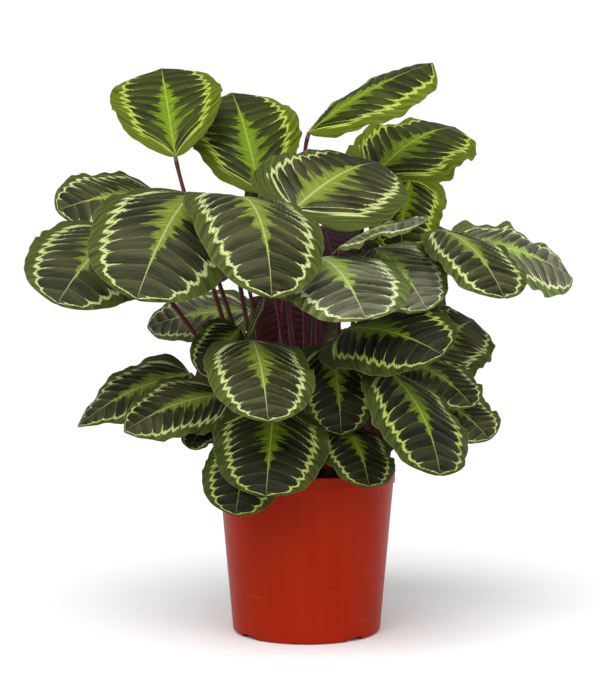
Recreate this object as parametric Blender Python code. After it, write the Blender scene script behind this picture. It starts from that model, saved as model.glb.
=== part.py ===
"""A medallion calathea in its nursery pot, as separate solids: the pot, the soil, the shoots and the leaf blades.

The plant stands as it grew. +Z is up, +X is to the right and -Y is the front. The origin is on the surface
that the pot stands on, under the middle of the pot.
"""

import math
from typing import NamedTuple

import bpy
import numpy as np
from mathutils import Matrix

MM = 0.001
GAP = 0.3  # between two pieces that touch, in millimetres
UP = np.array((0.0, 0.0, 1.0))

# Pot, in millimetres
POT_HEIGHT = 170.0
POT_TOP_RADIUS = 95.0
POT_NECK_RADIUS = 92.6
POT_FOOT_RADIUS = 78.0
POT_WALL = 2.0
RIM_DEPTH = 13.0
RIM_STEP = 1.2
RIM_SWELL = 0.8  # how much the rim widens from its step to its edge
RIM_EDGE = 0.6
FOOT_ROUNDING = 4.0
FLOOR_HEIGHT = 6.0
FLOOR_THICKNESS = 2.4
FOOT_RING_WIDTH = 8.0
CENTRE_PAD_RADIUS = 14.0
CENTRE_PAD_SLOPE = 3.0
NOTCH_COUNT = 4
NOTCH_WIDTH = 22.0
NOTCH_HEIGHT = 4.0
NOTCH_FIRST_ANGLE = -51.0  # degrees round from the front
DRAIN_COUNT = 6
DRAIN_RADIUS = 5.0
DRAIN_CIRCLE_RADIUS = 46.0
POT_SIDES = 48
CUT_MARGIN = 3.0  # how far a cutter reaches past what it cuts

# Soil, in millimetres
SOIL_LEVEL = 160.0
SOIL_CROWN = 4.0
SOIL_SLOPE = 8.0  # width of the dip where the soil meets the pot
SOIL_EDGE = 0.6
HOLE_RADIUS = 9.0
HOLE_DEPTH = 26.0
HOLE_SIDES = 12

# Petioles and their sheaths, in millimetres
SHEATH_RADIUS = HOLE_RADIUS - GAP - 0.4
SHEATH_TOP_RADIUS = 5.5
SHEATH_STRAIGHT = 8.0  # above the soil
SHEATH_HEIGHT = 30.0  # above the soil
SHEATH_POINT = 3.0
PETIOLE_FOOT_RADIUS = 2.9
PETIOLE_NECK_RADIUS = 2.0
PETIOLE_SPREAD = 3.6
PETIOLE_START = 4.0  # above the soil, inside the sheath
PETIOLE_RISE = 0.42  # how far the petiole keeps its first direction, as a share of its reach
PETIOLE_SPLAY = 0.25  # how much the first direction leans outwards
PETIOLE_NECK = 0.3  # how far it keeps its last direction, as a share of its reach
LONGEST_NECK = 45.0
STEEPEST_ARRIVAL = 70.0  # degrees above level
PETIOLE_SIDES = 5
PETIOLE_STEPS = 7

# Leaf blades, in millimetres
BLADE_THICKNESS = 0.8
BLADE_ROWS = 8
BLADE_COLUMNS = 6
COLUMN_CROWDING = 0.8  # moves the columns towards the blade's edges
LOBES = 0.10  # how far the blade reaches back beside its base, as a share of its length
BLUNT_END = 0.05
LEFT_WAVES = 2.6
RIGHT_WAVES = 2.3
WAVE_START = 0.013  # turns that the waves are shifted by a millimetre of the base's place

# The places where the shoots leave the soil, in millimetres right of and behind the pot's axis
SHOOTS = {
    1: (-27.0, -26.0),
    2: (-40.0, 4.0),
    3: (0.0, 4.0),
    4: (6.0, -38.0),
    5: (33.0, -16.0),
    6: (35.0, 20.0),
    7: (8.0, 40.0),
    8: (-28.0, 36.0),
}


class Leaf(NamedTuple):
    """One leaf: where its blade starts and ends, and how the blade is held and shaped."""

    shoot: int
    base: tuple  # millimetres
    tip: tuple  # millimetres
    width: float  # millimetres
    roll: float = 0.0  # degrees that the blade's right side hangs, looking from base to tip
    bow: float = 45.0  # degrees that the midrib turns downwards between base and tip
    cup: float = 0.14  # how far both sides droop, as a share of the half width
    skew: float = 0.0  # degrees that the right side is swept towards the tip
    wave: float = 2.8  # millimetres, the height of the edge's waves
    heel: float = 0.32  # 0 for a square base and 1 for a pointed one
    toe: float = 0.43  # 0 for a square tip and 1 for a pointed one
    knee: float = 50.0  # most degrees between the petiole's end and the blade's start
    lean: tuple = (0, 0)  # millimetres right and back that the petiole bulges on its way up


LEAVES = {
    "leaf_01": Leaf(2, (-142, 20, 507), (-168, 120, 624), 126, roll=-13, heel=0.75, toe=0.42),
    "leaf_02": Leaf(3, (-52, 60, 473), (-88, 150, 602), 132, roll=-15, wave=4, heel=0.7, toe=0.42),
    "leaf_03": Leaf(3, (3, 40, 536), (139, 43, 613), 118, roll=31, bow=25, cup=0.28, heel=0.7),
    "leaf_04": Leaf(6, (80, 110, 500), (182, 190, 568), 142, roll=28, wave=5),
    "leaf_05": Leaf(3, (-12, -42, 443), (80, 48, 504), 152, roll=36, skew=12, toe=0.5),
    "leaf_06": Leaf(1, (-74, -70, 451), (-33, -200, 344), 132, roll=-4, bow=80),
    "leaf_07": Leaf(1, (-116, -60, 456), (-160, -165, 344), 150, roll=-22, bow=60, heel=0.42),
    "leaf_08": Leaf(2, (-196, 0, 423), (-246, -105, 342), 136, roll=-25),
    "leaf_09": Leaf(8, (-162, 105, 468), (-271, 25, 448), 118, roll=-40, lean=(-10, -40)),
    "leaf_10": Leaf(2, (-62, 46, 340), (-174, 34, 322), 62, roll=-60),
    "leaf_11": Leaf(1, (-54, -108, 306), (-36, -205, 232), 104, roll=-2, lean=(-4, 0)),
    "leaf_12": Leaf(4, (-33, -92, 238), (-39, -168, 160), 112, roll=-6),
    "leaf_13": Leaf(1, (-54, -78, 218), (-69, -136, 138), 80, roll=-10, heel=0.5),
    "leaf_14": Leaf(2, (-125, 12, 271), (-239, -28, 217), 104, roll=-34, toe=0.95),
    "leaf_15": Leaf(2, (-85, -33, 250), (-183, -84, 215), 92, roll=-35, toe=0.6),
    "leaf_16": Leaf(1, (-94, -45, 228), (-118, -80, 198), 42, roll=-20),
    "leaf_17": Leaf(1, (-68, -60, 319), (-105, -92, 272), 62, roll=-55),
    "leaf_18": Leaf(4, (-61, -94, 305), (-43, -88, 349), 26, bow=10, cup=0.08, wave=0.5, heel=0.7),
    "leaf_19": Leaf(3, (12, -62, 391), (54, -180, 325), 134, roll=9),
    "leaf_20": Leaf(5, (71, -30, 403), (119, -100, 336), 96, roll=24),
    "leaf_21": Leaf(5, (35, -44, 404), (118, -104, 424), 70, roll=22, bow=30),
    "leaf_22": Leaf(6, (117, 75, 488), (105, 45, 405), 90),
    "leaf_23": Leaf(5, (142, -10, 424), (193, -110, 348), 98, roll=2, heel=0.5, knee=75, lean=(0, -30)),
    "leaf_24": Leaf(6, (163, 40, 414), (297, 60, 376), 124, roll=38, wave=5),
    "leaf_25": Leaf(5, (40, -56, 318), (130, -140, 292), 120, roll=36, skew=-8),
    "leaf_26": Leaf(6, (130, 25, 290), (191, 90, 331), 104, roll=40, wave=5),
    "leaf_27": Leaf(5, (105, 0, 284), (169, -60, 239), 90, roll=15),
    "leaf_28": Leaf(6, (132, 20, 246), (189, -40, 204), 86, roll=20, wave=4),
    "leaf_29": Leaf(5, (82, -80, 276), (125, -160, 179), 116, roll=-10, heel=0.45, toe=0.4, lean=(26, 14)),
    "leaf_30": Leaf(4, (24, -52, 302), (34, -90, 212), 82, roll=4),
    "leaf_31": Leaf(4, (37, -62, 220), (60, -122, 164), 84, roll=-7),
    "leaf_32": Leaf(7, (20, 110, 440), (40, 215, 370), 120),
    "leaf_33": Leaf(8, (-25, 100, 362), (-12, 180, 288), 112),
    "leaf_34": Leaf(6, (85, 110, 400), (140, 195, 330), 112),
    "leaf_35": Leaf(8, (-60, 95, 290), (-110, 170, 225), 108),
    "leaf_36": Leaf(7, (62, 95, 322), (110, 170, 255), 112),
    "leaf_37": Leaf(7, (5, 80, 250), (10, 165, 175), 98),
    "leaf_38": Leaf(8, (-75, 70, 245), (-115, 120, 195), 80),
    "leaf_39": Leaf(6, (80, 65, 245), (140, 115, 190), 88),
    "leaf_40": Leaf(7, (-10, 120, 505), (-30, 210, 455), 112),
    "leaf_41": Leaf(8, (-82, 116, 418), (-138, 193, 372), 92),
    "leaf_42": Leaf(6, (125, 110, 440), (200, 165, 390), 110),
    "leaf_43": Leaf(4, (61, -50, 246), (61, -40, 181), 72),
}


def clear_scene():
    for thing in list(bpy.data.objects):
        bpy.data.objects.remove(thing, do_unlink=True)


def finish(name, colour, roughness):
    """A plain material with the piece's colour."""
    material = bpy.data.materials.get(name) or bpy.data.materials.new(name)
    material.use_nodes = True
    shader = material.node_tree.nodes["Principled BSDF"]
    shader.inputs["Base Color"].default_value = (*colour, 1)
    shader.inputs["Roughness"].default_value = roughness
    return material


def unit(vector):
    return vector / np.linalg.norm(vector)


def solid(name, points, faces, material):
    """A closed mesh object from points in millimetres, with its faces turned outwards."""
    points = np.asarray(points, float)
    triangles = [(face[0], face[i], face[i + 1]) for face in faces for i in range(1, len(face) - 1)]
    corners = points[np.array(triangles)]
    if np.linalg.det(corners - points.mean(axis=0)).sum() < 0:
        faces = [tuple(reversed(face)) for face in faces]
    mesh = bpy.data.meshes.new(name)
    mesh.from_pydata((points * MM).tolist(), [], [tuple(int(i) for i in face) for face in faces])
    mesh.materials.append(material)
    mesh.update()
    thing = bpy.data.objects.new(name, mesh)
    bpy.context.scene.collection.objects.link(thing)
    return thing


def turned(name, profile, sides, material):
    """A solid of revolution round Z from a closed profile of (radius, height), whose ends may lie on the axis."""
    points, rings = [], []
    for radius, height in profile:
        if radius == 0:
            rings.append([len(points)] * sides)
            points.append((0, 0, height))
            continue
        rings.append(list(range(len(points), len(points) + sides)))
        for side in range(sides):
            angle = 2 * math.pi * side / sides
            points.append((radius * math.cos(angle), radius * math.sin(angle), height))
    faces = []
    on_axis = profile[0][0] == 0
    pairs = zip(rings, rings[1:]) if on_axis else zip(rings, rings[1:] + rings[:1])
    for low, high in pairs:
        for side in range(sides):
            after = (side + 1) % sides
            corners = (low[side], low[after], high[after], high[side])
            face = tuple(dict.fromkeys(corners))
            if len(face) > 2:
                faces.append(face)
    return solid(name, points, faces, material)


def boolean(thing, others, operation):
    """Applies one Boolean with all of the other objects, and removes them."""
    helpers = bpy.data.collections.new("helpers")
    for other in others:
        helpers.objects.link(other)
    modifier = thing.modifiers.new("boolean", "BOOLEAN")
    modifier.operand_type = "COLLECTION"
    modifier.collection = helpers
    modifier.operation = operation
    modifier.solver = "EXACT"
    graph = bpy.context.evaluated_depsgraph_get()
    mesh = bpy.data.meshes.new_from_object(thing.evaluated_get(graph))
    thing.modifiers.clear()
    thing.data = mesh
    mesh.name = thing.name
    for other in others:
        bpy.data.objects.remove(other, do_unlink=True)
    bpy.data.collections.remove(helpers)


def wall_radius(height):
    """The outer radius of the pot's tapered wall at a height, below the rim."""
    share = height / (POT_HEIGHT - RIM_DEPTH)
    return POT_FOOT_RADIUS + (POT_NECK_RADIUS - POT_FOOT_RADIUS) * share


def cylinder(name, centre, radius, low, high, sides):
    profile = [(0, low), (radius, low), (radius, high), (0, high)]
    thing = turned(name, profile, sides, None)
    move(thing, centre)
    return thing


def move(thing, place):
    thing.data.transform(Matrix.Translation((place[0] * MM, place[1] * MM, 0)))


def smooth(thing):
    """Shades a round piece smooth, with its sharp edges kept."""
    thing.data.shade_smooth()
    thing.data.set_sharp_from_angle(angle=math.radians(35))


def make_pot():
    plastic = finish("pot plastic", (0.42, 0.035, 0.012), 0.38)
    floor_top = FLOOR_HEIGHT + FLOOR_THICKNESS
    ring_inner = POT_FOOT_RADIUS - FOOT_RING_WIDTH
    profile = [
        (0, 0),
        (CENTRE_PAD_RADIUS, 0),
        (CENTRE_PAD_RADIUS + CENTRE_PAD_SLOPE, FLOOR_HEIGHT),
        (ring_inner, FLOOR_HEIGHT),
        (ring_inner, 0),
        (wall_radius(0) - FOOT_ROUNDING, 0),
        (wall_radius(0) - 0.3 * FOOT_ROUNDING, 0.3 * FOOT_ROUNDING),
        (wall_radius(FOOT_ROUNDING), FOOT_ROUNDING),
        (wall_radius(POT_HEIGHT - RIM_DEPTH), POT_HEIGHT - RIM_DEPTH),
        (POT_TOP_RADIUS - RIM_SWELL, POT_HEIGHT - RIM_DEPTH + RIM_STEP),
        (POT_TOP_RADIUS, POT_HEIGHT - RIM_EDGE),
        (POT_TOP_RADIUS - RIM_EDGE, POT_HEIGHT),
        (POT_TOP_RADIUS - POT_WALL, POT_HEIGHT),
        (wall_radius(POT_HEIGHT - RIM_DEPTH) - POT_WALL, POT_HEIGHT - RIM_DEPTH),
        (wall_radius(floor_top) - POT_WALL, floor_top),
        (0, floor_top),
    ]
    pot = turned("pot", profile, POT_SIDES, plastic)
    boolean(pot, notch_cutters() + drain_cutters(), "DIFFERENCE")
    smooth(pot)


def notch_cutters():
    """Blocks that cut the gaps in the foot ring, where water runs out."""
    cutters = []
    for i in range(NOTCH_COUNT):
        angle = math.radians(NOTCH_FIRST_ANGLE - 90 + 360 * i / NOTCH_COUNT)
        out = np.array((math.cos(angle), math.sin(angle), 0))
        side = np.array((-math.sin(angle), math.cos(angle), 0))
        near = POT_FOOT_RADIUS - FOOT_RING_WIDTH - CUT_MARGIN
        far = POT_FOOT_RADIUS + CUT_MARGIN
        corners = [
            out * reach + side * NOTCH_WIDTH / 2 * hand + UP * height
            for height in (-CUT_MARGIN, NOTCH_HEIGHT)
            for reach, hand in ((near, -1), (far, -1), (far, 1), (near, 1))
        ]
        cutters.append(block(f"notch_{i}", corners))
    return cutters


def block(name, corners):
    """A six-sided solid from the four corners below and the four above."""
    faces = [(3, 2, 1, 0), (4, 5, 6, 7)]
    faces += [(i, (i + 1) % 4, (i + 1) % 4 + 4, i + 4) for i in range(4)]
    return solid(name, corners, faces, None)


def drain_cutters():
    low = FLOOR_HEIGHT - CUT_MARGIN
    high = FLOOR_HEIGHT + FLOOR_THICKNESS + CUT_MARGIN
    cutters = []
    for i in range(DRAIN_COUNT):
        angle = 2 * math.pi * i / DRAIN_COUNT
        centre = (DRAIN_CIRCLE_RADIUS * math.cos(angle), DRAIN_CIRCLE_RADIUS * math.sin(angle))
        cutters.append(cylinder(f"drain_{i}", centre, DRAIN_RADIUS, low, high, HOLE_SIDES))
    return cutters


def make_soil():
    peat = finish("peat", (0.02, 0.012, 0.008), 0.95)
    floor_top = FLOOR_HEIGHT + FLOOR_THICKNESS
    rim_line = POT_HEIGHT - RIM_DEPTH
    low_radius = wall_radius(floor_top + GAP) - POT_WALL - GAP
    high_radius = wall_radius(rim_line) - POT_WALL - GAP
    profile = [
        (0, floor_top + GAP),
        (low_radius, floor_top + GAP),
        (high_radius, rim_line),
        (high_radius, SOIL_LEVEL - SOIL_EDGE),
        (high_radius - SOIL_SLOPE, SOIL_LEVEL + SOIL_CROWN / 2),
        (0, SOIL_LEVEL + SOIL_CROWN),
    ]
    soil = turned("soil", profile, POT_SIDES, peat)
    low = SOIL_LEVEL - HOLE_DEPTH
    high = SOIL_LEVEL + SOIL_CROWN + CUT_MARGIN
    holes = [
        cylinder(f"hole_{number}", place, HOLE_RADIUS, low, high, HOLE_SIDES)
        for number, place in SHOOTS.items()
    ]
    boolean(soil, holes, "DIFFERENCE")
    smooth(soil)


def blade_axes(leaf):
    """Unit vectors along the blade, to its right side and out of its upper face."""
    along = unit(np.subtract(leaf.tip, leaf.base).astype(float))
    level = unit(np.cross(along, UP))
    normal = np.cross(level, along)
    roll = math.radians(leaf.roll)
    side = math.cos(roll) * level - math.sin(roll) * normal
    return along, side, np.cross(side, along)


def outline(leaf, u):
    """The blade's half width at u from base to tip, as a share of the widest."""
    widest = leaf.heel / (leaf.heel + leaf.toe)
    peak = widest**leaf.heel * (1 - widest) ** leaf.toe
    share = np.clip(u, 0, 1) ** leaf.heel * np.clip(1 - u, 0, 1) ** leaf.toe / peak
    return BLUNT_END + (1 - BLUNT_END) * share


def ripple(leaf, u, v):
    """The wave of the blade's edge, different on each leaf and on each side."""
    start = sum(leaf.base) * WAVE_START
    left = np.sin(2 * math.pi * (LEFT_WAVES * u + start))
    right = np.sin(2 * math.pi * (RIGHT_WAVES * u - start))
    return leaf.wave * v**2 * np.sqrt(np.sin(math.pi * u)) * np.where(v < 0, left, right)


def blade_surface(leaf, u, v):
    """Points on the blade's middle surface. u runs from base to tip, and v from -1 at the left edge to 1."""
    along, side, normal = blade_axes(leaf)
    chord = np.linalg.norm(np.subtract(leaf.tip, leaf.base))
    half_turn = math.radians(leaf.bow) / 2
    angle = (half_turn * (1 - 2 * u))[..., None]
    reach = (math.sin(half_turn) - np.sin(angle)) / (2 * math.sin(half_turn))
    rise = (np.cos(angle) - math.cos(half_turn)) / (2 * math.sin(half_turn))
    spine = np.array(leaf.base, float) + chord * (reach * along + rise * normal)
    up = np.cos(angle) * normal - np.sin(angle) * along
    skew = math.radians(leaf.skew)
    across = leaf.width / 2 * outline(leaf, u) * v
    droop = leaf.width / 2 * outline(leaf, u) * leaf.cup * v**2
    lift = ripple(leaf, u, v) - droop
    sweep = math.cos(skew) * side + math.sin(skew) * along
    back = LOBES * chord * (1 - u) ** 3 * (outline(leaf, u) * np.abs(v)) ** 1.5
    return spine + across[..., None] * sweep - back[..., None] * along + lift[..., None] * up


def make_blade(name, leaf, material):
    """The blade's two faces, split into the same triangles, and the thin rim between them."""
    rows = (1 - np.cos(np.linspace(0, math.pi, BLADE_ROWS + 1))) / 2
    half_turn = COLUMN_CROWDING * math.pi / 2
    columns = np.sin(np.linspace(-half_turn, half_turn, BLADE_COLUMNS + 1)) / math.sin(half_turn)
    u, v = np.meshgrid(rows, columns, indexing="ij")
    middle = blade_surface(leaf, u, v)
    down = np.cross(np.gradient(middle, axis=0), np.gradient(middle, axis=1))
    down /= np.linalg.norm(down, axis=2, keepdims=True)
    half = BLADE_THICKNESS / 2
    points = np.concatenate([(middle + half * down).reshape(-1, 3), (middle - half * down).reshape(-1, 3)])
    wide = BLADE_COLUMNS + 1
    under = len(points) // 2
    faces = []
    for row in range(BLADE_ROWS):
        for column in range(BLADE_COLUMNS):
            a = row * wide + column
            b, c, d = a + 1, a + wide + 1, a + wide
            split = [(a, b, c), (a, c, d)]
            if column >= BLADE_COLUMNS / 2:
                split = [(a, b, d), (b, c, d)]
            faces += split
            faces += [tuple(under + i for i in reversed(face)) for face in split]
    edge = rim_of_grid(BLADE_ROWS + 1, wide)
    for a, b in zip(edge, edge[1:] + edge[:1]):
        faces += [(b, a, under + a), (b, under + a, under + b)]
    return solid(name, points, faces, material)


def rim_of_grid(rows, columns):
    """The point numbers round a grid, in order."""
    last = (rows - 1) * columns
    first_row = list(range(columns))
    right = [row * columns + columns - 1 for row in range(1, rows)]
    last_row = list(range(last + columns - 2, last - 1, -1))
    left = [row * columns for row in range(rows - 2, 0, -1)]
    return first_row + right + last_row + left


def petiole_end(leaf):
    """Where the petiole stops just short of the blade, and the direction in which it arrives."""
    along, _, normal = blade_axes(leaf)
    half_turn = math.radians(leaf.bow) / 2
    start = math.cos(half_turn) * along + math.sin(half_turn) * normal
    upper = math.cos(half_turn) * normal - math.sin(half_turn) * along
    knee = min(max(STEEPEST_ARRIVAL - math.degrees(math.asin(start[2])), 0), leaf.knee)
    arrival = math.cos(math.radians(knee)) * start + math.sin(math.radians(knee)) * upper
    clearance = GAP + BLADE_THICKNESS / 2 * abs(arrival.dot(upper))
    return np.array(leaf.base, float) - clearance * arrival, arrival


def petiole_path(leaf):
    """Points from inside the sheath to the blade's base, on one smooth cubic."""
    root = np.array((*SHOOTS[leaf.shoot], SOIL_LEVEL + PETIOLE_START))
    end, arrival = petiole_end(leaf)
    out = unit((end - root) * (1, 1, 0))
    root = root + PETIOLE_SPREAD * out
    far = np.linalg.norm(end - root)
    first = root + PETIOLE_RISE * far * unit(UP + PETIOLE_SPLAY * out) + np.array((*leaf.lean, 0))
    second = end - min(PETIOLE_NECK * far, LONGEST_NECK) * arrival
    t = np.linspace(0, 1, PETIOLE_STEPS + 1)[:, None]
    path = (1 - t) ** 3 * root + 3 * t * (1 - t) ** 2 * first + 3 * t**2 * (1 - t) * second + t**3 * end
    tangents = (1 - t) ** 2 * (first - root) + 2 * t * (1 - t) * (second - first) + t**2 * (end - second)
    return path, tangents


def tube(name, path, tangents, radii, sides, material):
    """A capped tube along a path, with a direction and a radius at each point."""
    tangents = tangents / np.linalg.norm(tangents, axis=1, keepdims=True)
    side = unit(np.cross(tangents[0], (0.31, 0.95, 0.05)))
    points = []
    for point, tangent, radius in zip(path, tangents, radii):
        side = unit(side - tangent * side.dot(tangent))
        other = np.cross(tangent, side)
        for i in range(sides):
            angle = 2 * math.pi * i / sides
            points.append(point + radius * (math.cos(angle) * side + math.sin(angle) * other))
    faces = [tuple(reversed(range(sides))), tuple(range(len(points) - sides, len(points)))]
    for ring in range(len(path) - 1):
        for i in range(sides):
            low, after = ring * sides + i, ring * sides + (i + 1) % sides
            faces.append((low, after, after + sides, low + sides))
    return solid(name, points, faces, material)


def make_shoot(number, place):
    """One shoot: the sheath that stands in the soil, with the petioles that leave it."""
    maroon = finish("petiole", (0.12, 0.02, 0.03), 0.45)
    low = SOIL_LEVEL - HOLE_DEPTH + GAP
    profile = [
        (0, low),
        (SHEATH_RADIUS, low),
        (SHEATH_RADIUS, SOIL_LEVEL + SHEATH_STRAIGHT),
        (SHEATH_TOP_RADIUS, SOIL_LEVEL + SHEATH_HEIGHT),
        (0, SOIL_LEVEL + SHEATH_HEIGHT + SHEATH_POINT),
    ]
    sheath = turned(f"shoot_{number}", profile, HOLE_SIDES, maroon)
    move(sheath, place)
    petioles = []
    for name, leaf in LEAVES.items():
        if leaf.shoot != number:
            continue
        path, tangents = petiole_path(leaf)
        radii = np.linspace(PETIOLE_FOOT_RADIUS, PETIOLE_NECK_RADIUS, len(path))
        petioles.append(tube(f"petiole_{name}", path, tangents, radii, PETIOLE_SIDES, maroon))
    boolean(sheath, petioles, "UNION")
    smooth(sheath)


def main():
    clear_scene()
    make_pot()
    make_soil()
    for number, place in SHOOTS.items():
        make_shoot(number, place)
    green = finish("blade", (0.06, 0.13, 0.03), 0.4)
    for name, leaf in LEAVES.items():
        make_blade(name, leaf, green)


main()
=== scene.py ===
"""The looks of the potted calathea: its patterned leaves, petioles, pot and soil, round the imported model.

Lengths are in millimetres until a mesh is made. The leaf table and the curves that it drives are those of the
solids, so each fine blade and petiole lies where its node does.
"""

import math
from typing import NamedTuple

import bpy
import numpy as np
from mathutils import Matrix


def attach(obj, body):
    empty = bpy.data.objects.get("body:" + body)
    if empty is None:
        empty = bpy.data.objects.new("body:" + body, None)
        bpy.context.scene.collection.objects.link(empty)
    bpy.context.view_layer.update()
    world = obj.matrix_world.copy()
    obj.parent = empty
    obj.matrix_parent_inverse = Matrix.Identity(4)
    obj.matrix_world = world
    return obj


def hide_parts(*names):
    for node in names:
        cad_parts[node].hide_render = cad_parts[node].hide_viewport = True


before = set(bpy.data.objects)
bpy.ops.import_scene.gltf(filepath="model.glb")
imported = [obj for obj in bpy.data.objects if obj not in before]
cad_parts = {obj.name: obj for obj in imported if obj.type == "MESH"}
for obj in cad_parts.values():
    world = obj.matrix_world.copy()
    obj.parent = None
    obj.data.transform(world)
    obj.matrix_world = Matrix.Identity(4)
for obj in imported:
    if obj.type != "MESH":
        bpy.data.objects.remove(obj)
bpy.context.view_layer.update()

MM = 0.001
UP = np.array((0.0, 0.0, 1.0))

# Blades, as in the solids
GAP = 0.3
BLADE_THICKNESS = 0.8
EDGE_THICKNESS = 0.5
LOBES = 0.10
BLUNT_END = 0.05
LEFT_WAVES = 2.6
RIGHT_WAVES = 2.3
WAVE_START = 0.013

# Fine blades
ROWS = 72
COLUMNS = 52
VEINS = 9.0  # main side veins on each half
VEIN_SWEEP = 0.52  # how far a side vein runs towards the tip on its way out, as a share of the rest
VEIN_BEND = 0.3  # share of the sweep that comes near the edge
PLEAT = 2.1
NICKS = 0.007
MIDRIB_WIDTH = 1.5
MIDRIB_RIDGE = 1.3

# Petioles, as in the solids
SOIL_LEVEL = 160.0
PETIOLE_FOOT_RADIUS = 2.9
PETIOLE_NECK_RADIUS = 2.0
PETIOLE_SPREAD = 3.6
PETIOLE_START = 4.0
PETIOLE_RISE = 0.42
PETIOLE_SPLAY = 0.25
PETIOLE_NECK = 0.3
LONGEST_NECK = 45.0
STEEPEST_ARRIVAL = 70.0
PETIOLE_STEPS = 26
PETIOLE_SIDES = 12

SHOOTS = {
    1: (-27.0, -26.0),
    2: (-40.0, 4.0),
    3: (0.0, 4.0),
    4: (6.0, -38.0),
    5: (33.0, -16.0),
    6: (35.0, 20.0),
    7: (8.0, 40.0),
    8: (-28.0, 36.0),
}


class Leaf(NamedTuple):
    """One leaf: where its blade starts and ends, and how the blade is held and shaped."""

    shoot: int
    base: tuple
    tip: tuple
    width: float
    roll: float = 0.0
    bow: float = 45.0
    cup: float = 0.14
    skew: float = 0.0
    wave: float = 2.8
    heel: float = 0.32
    toe: float = 0.43
    knee: float = 50.0
    lean: tuple = (0, 0)


LEAVES = {
    "leaf_01": Leaf(2, (-142, 20, 507), (-168, 120, 624), 126, roll=-13, heel=0.75, toe=0.42),
    "leaf_02": Leaf(3, (-52, 60, 473), (-88, 150, 602), 132, roll=-15, wave=4, heel=0.7, toe=0.42),
    "leaf_03": Leaf(3, (3, 40, 536), (139, 43, 613), 118, roll=31, bow=25, cup=0.28, heel=0.7),
    "leaf_04": Leaf(6, (80, 110, 500), (182, 190, 568), 142, roll=28, wave=5),
    "leaf_05": Leaf(3, (-12, -42, 443), (80, 48, 504), 152, roll=36, skew=12, toe=0.5),
    "leaf_06": Leaf(1, (-74, -70, 451), (-33, -200, 344), 132, roll=-4, bow=80),
    "leaf_07": Leaf(1, (-116, -60, 456), (-160, -165, 344), 150, roll=-22, bow=60, heel=0.42),
    "leaf_08": Leaf(2, (-196, 0, 423), (-246, -105, 342), 136, roll=-25),
    "leaf_09": Leaf(8, (-162, 105, 468), (-271, 25, 448), 118, roll=-40, lean=(-10, -40)),
    "leaf_10": Leaf(2, (-62, 46, 340), (-174, 34, 322), 62, roll=-60),
    "leaf_11": Leaf(1, (-54, -108, 306), (-36, -205, 232), 104, roll=-2, lean=(-4, 0)),
    "leaf_12": Leaf(4, (-33, -92, 238), (-39, -168, 160), 112, roll=-6),
    "leaf_13": Leaf(1, (-54, -78, 218), (-69, -136, 138), 80, roll=-10, heel=0.5),
    "leaf_14": Leaf(2, (-125, 12, 271), (-239, -28, 217), 104, roll=-34, toe=0.95),
    "leaf_15": Leaf(2, (-85, -33, 250), (-183, -84, 215), 92, roll=-35, toe=0.6),
    "leaf_16": Leaf(1, (-94, -45, 228), (-118, -80, 198), 42, roll=-20),
    "leaf_17": Leaf(1, (-68, -60, 319), (-105, -92, 272), 62, roll=-55),
    "leaf_18": Leaf(4, (-61, -94, 305), (-43, -88, 349), 26, bow=10, cup=0.08, wave=0.5, heel=0.7),
    "leaf_19": Leaf(3, (12, -62, 391), (54, -180, 325), 134, roll=9),
    "leaf_20": Leaf(5, (71, -30, 403), (119, -100, 336), 96, roll=24),
    "leaf_21": Leaf(5, (35, -44, 404), (118, -104, 424), 70, roll=22, bow=30),
    "leaf_22": Leaf(6, (117, 75, 488), (105, 45, 405), 90),
    "leaf_23": Leaf(5, (142, -10, 424), (193, -110, 348), 98, roll=2, heel=0.5, knee=75, lean=(0, -30)),
    "leaf_24": Leaf(6, (163, 40, 414), (297, 60, 376), 124, roll=38, wave=5),
    "leaf_25": Leaf(5, (40, -56, 318), (130, -140, 292), 120, roll=36, skew=-8),
    "leaf_26": Leaf(6, (130, 25, 290), (191, 90, 331), 104, roll=40, wave=5),
    "leaf_27": Leaf(5, (105, 0, 284), (169, -60, 239), 90, roll=15),
    "leaf_28": Leaf(6, (132, 20, 246), (189, -40, 204), 86, roll=20, wave=4),
    "leaf_29": Leaf(5, (82, -80, 276), (125, -160, 179), 116, roll=-10, heel=0.45, toe=0.4, lean=(26, 14)),
    "leaf_30": Leaf(4, (24, -52, 302), (34, -90, 212), 82, roll=4),
    "leaf_31": Leaf(4, (37, -62, 220), (60, -122, 164), 84, roll=-7),
    "leaf_32": Leaf(7, (20, 110, 440), (40, 215, 370), 120),
    "leaf_33": Leaf(8, (-25, 100, 362), (-12, 180, 288), 112),
    "leaf_34": Leaf(6, (85, 110, 400), (140, 195, 330), 112),
    "leaf_35": Leaf(8, (-60, 95, 290), (-110, 170, 225), 108),
    "leaf_36": Leaf(7, (62, 95, 322), (110, 170, 255), 112),
    "leaf_37": Leaf(7, (5, 80, 250), (10, 165, 175), 98),
    "leaf_38": Leaf(8, (-75, 70, 245), (-115, 120, 195), 80),
    "leaf_39": Leaf(6, (80, 65, 245), (140, 115, 190), 88),
    "leaf_40": Leaf(7, (-10, 120, 505), (-30, 210, 455), 112),
    "leaf_41": Leaf(8, (-82, 116, 418), (-138, 193, 372), 92),
    "leaf_42": Leaf(6, (125, 110, 440), (200, 165, 390), 110),
    "leaf_43": Leaf(4, (61, -50, 246), (61, -40, 181), 72),
}


def unit(vector):
    return vector / np.linalg.norm(vector)


def blade_axes(leaf):
    """Unit vectors along the blade, to its right side and out of its upper face."""
    along = unit(np.subtract(leaf.tip, leaf.base).astype(float))
    level = unit(np.cross(along, UP))
    normal = np.cross(level, along)
    roll = math.radians(leaf.roll)
    side = math.cos(roll) * level - math.sin(roll) * normal
    return along, side, np.cross(side, along)


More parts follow.
